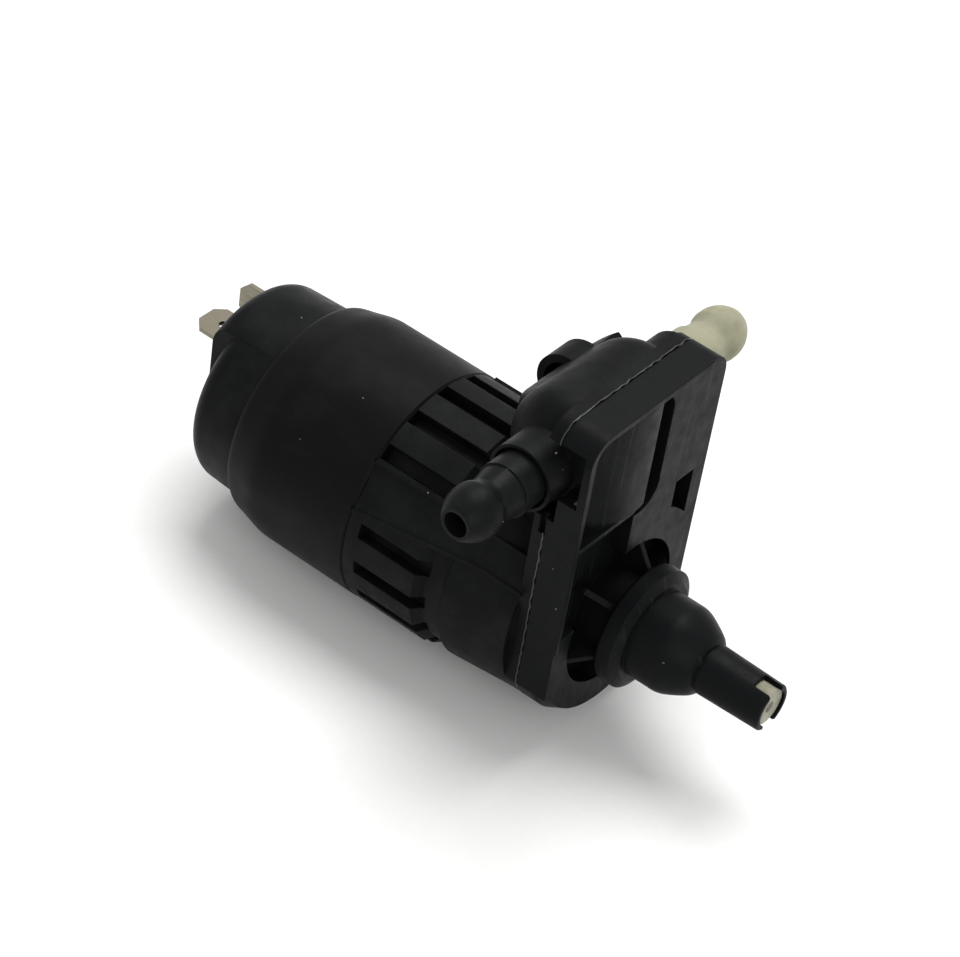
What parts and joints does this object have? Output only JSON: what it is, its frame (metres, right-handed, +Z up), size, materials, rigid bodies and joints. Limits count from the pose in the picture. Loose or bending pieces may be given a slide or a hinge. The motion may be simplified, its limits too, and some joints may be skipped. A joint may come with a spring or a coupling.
{
  "type": "windshield washer pump",
  "caption": "Windshield washer pump: rubber-sleeved motor, ribbed cage, valve head with a dark and a beige hose nozzle, and a belled inlet spigot.",
  "frame": {"origin": "on the motor axis, at the front face of the inlet collar that seats on the tank grommet", "axes": "+X along the motor axis towards the tank, +Z up towards the valve head, -Y towards the dark outlet"},
  "size_m": [0.1062, 0.0639, 0.059],
  "materials": {
    "housing_nylon": "black glass-filled nylon, fine grain",
    "cover_nylon": "black glass-filled nylon, satin",
    "black_acetal": "black plastic, satin",
    "beige_acetal": "beige-grey plastic, satin",
    "sleeve_rubber": "black rubber, satin",
    "cap_nylon": "black plastic, satin",
    "tinned_brass": "tinned brass",
    "pale_nylon": "natural nylon",
    "seal_rubber": "black rubber",
    "inner_plastic": "white plastic",
    "zinc_steel": "zinc-plated steel",
    "core_steel": "electrical steel",
    "ferrite": "dark ferrite",
    "copper": "enamelled copper",
    "bronze": "sintered bronze",
    "carbon": "carbon"
  },
  "bodies": {
    "pump": {"pump_housing": "housing_nylon", "front_cover": "cover_nylon", "black_outlet": "black_acetal", "beige_outlet": "beige_acetal", "valve_diaphragm": "seal_rubber", "inlet_strainer": "pale_nylon", "motor_sleeve": "sleeve_rubber", "end_cap": "cap_nylon", "terminal_flat": "tinned_brass", "terminal_upright": "tinned_brass", "brush_carrier": "inner_plastic", "brush_left": "carbon", "brush_right": "carbon", "brush_arm_left": "bronze", "brush_arm_right": "bronze", "motor_can": "zinc_steel", "magnet_upper": "ferrite", "magnet_lower": "ferrite", "magnet_clip_left": "zinc_steel", "magnet_clip_right": "zinc_steel", "front_bush": "bronze", "rear_bush": "bronze", "shaft_seal": "seal_rubber", "seal_retainer": "inner_plastic"},
    "rotor": {"shaft": "zinc_steel", "rotor_core": "core_steel", "rotor_windings": "copper", "commutator": "copper", "front_spacer": "inner_plastic", "rear_washer": "inner_plastic", "impeller": "inner_plastic"}
  },
  "joints": [
    {"name": "rotor_spin", "type": "hinge", "parent": "pump", "child": "rotor", "pos_m": [0, 0, 0], "axis": [1, 0, 0], "continuous": true}
  ]
}
